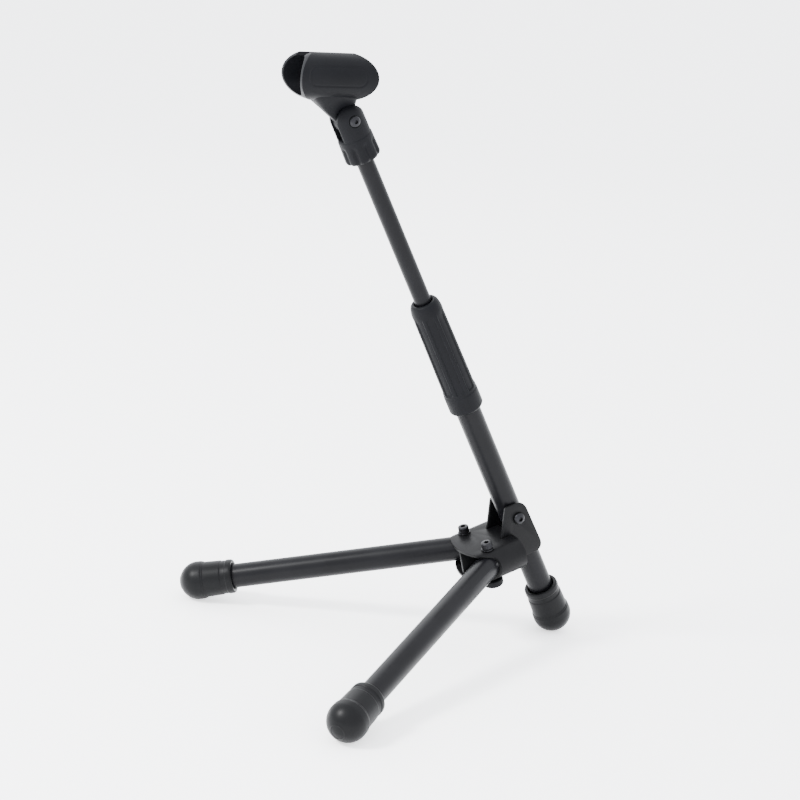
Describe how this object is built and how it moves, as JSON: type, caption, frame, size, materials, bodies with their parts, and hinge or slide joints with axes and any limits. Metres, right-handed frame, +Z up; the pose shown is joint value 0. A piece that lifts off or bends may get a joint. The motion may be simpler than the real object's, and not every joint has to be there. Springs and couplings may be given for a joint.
{
  "type": "microphone stand",
  "caption": "Low folding microphone stand: splayed legs and a leaning telescopic mast on a pressed hub, twist clutch grip, rubber feet and a snap-in microphone clip.",
  "frame": {"origin": "centre of the footprint, on the floor", "axes": "+Z up; the clip and the two legs point to -Y and the mast foot is at +Y; X runs across the hub"},
  "size_m": [0.2804, 0.2682, 0.4293],
  "materials": {
    "black_paint": "semi-gloss black paint",
    "satin_black": "satin black powder coat",
    "foot_rubber": "matte moulded rubber",
    "black_plastic": "matte moulded plastic",
    "black_nylon": "matte nylon",
    "black_steel": "black oxide",
    "brass": "machined"
  },
  "bodies": {
    "hub": {"hub_housing": "satin_black", "hub_clevis": "satin_black", "ear_bolt": "black_steel", "ear_washer": "black_steel", "ear_nut": "black_steel", "pivot_washer_left": "black_steel", "pivot_screw_left": "black_steel", "pivot_bush_left": "black_nylon", "pivot_nut_left": "black_steel", "nut_cap_left": "black_plastic", "pivot_washer_right": "black_steel", "pivot_screw_right": "black_steel", "pivot_bush_right": "black_nylon", "pivot_nut_right": "black_steel", "nut_cap_right": "black_plastic"},
    "leg_left": {"leg_tube_left": "black_paint", "leg_insert_left": "black_plastic", "foot_left": "foot_rubber"},
    "leg_right": {"leg_tube_right": "black_paint", "leg_insert_right": "black_plastic", "foot_right": "foot_rubber"},
    "mast": {"mast_tube": "black_paint", "foot_rear": "foot_rubber", "ear_bush": "black_nylon", "clutch_bush": "black_plastic", "clutch_collet": "black_nylon"},
    "grip": {"clutch_grip": "black_plastic"},
    "rod_guide": {"rod_guide": "black_nylon"},
    "rod": {"upper_rod": "black_paint", "rod_stud": "black_steel", "base_insert": "brass", "swivel_base": "black_plastic", "hinge_screw": "black_steel", "hinge_nut": "black_steel"},
    "clip": {"mic_clip": "black_plastic", "clip_bush": "black_nylon"}
  },
  "joints": [
    {"name": "leg_left_fold", "type": "hinge", "parent": "hub", "child": "leg_left", "pos_m": [-0.01708, 0.04871, 0.06637], "axis": [0, -0.3022, 0.9532], "range_deg": [0, 32]},
    {"name": "leg_right_fold", "type": "hinge", "parent": "hub", "child": "leg_right", "pos_m": [0.01708, 0.04871, 0.06637], "axis": [0, 0.3022, -0.9532], "range_deg": [0, 32]},
    {"name": "mast_fold", "type": "hinge", "parent": "hub", "child": "mast", "pos_m": [0, 0.07233, 0.09744], "axis": [1, 0, 0], "range_deg": [0, 75]},
    {"name": "grip_turn", "type": "hinge", "parent": "mast", "child": "grip", "pos_m": [0, 0.00429, 0.2175], "axis": [0, -0.493, 0.87], "range_deg": [0, 120]},
    {"name": "rod_slide", "type": "slide", "parent": "mast", "child": "rod_guide", "axis": [0, -0.493, 0.87], "range_m": [-0.1, 0.03]},
    {"name": "rod_turn", "type": "hinge", "parent": "rod_guide", "child": "rod", "pos_m": [0, -0.04501, 0.3045], "axis": [0, -0.493, 0.87], "continuous": true},
    {"name": "clip_tilt", "type": "hinge", "parent": "rod", "child": "clip", "pos_m": [0, -0.09111, 0.38585], "axis": [1, 0, 0], "range_deg": [-40, 60]}
  ]
}
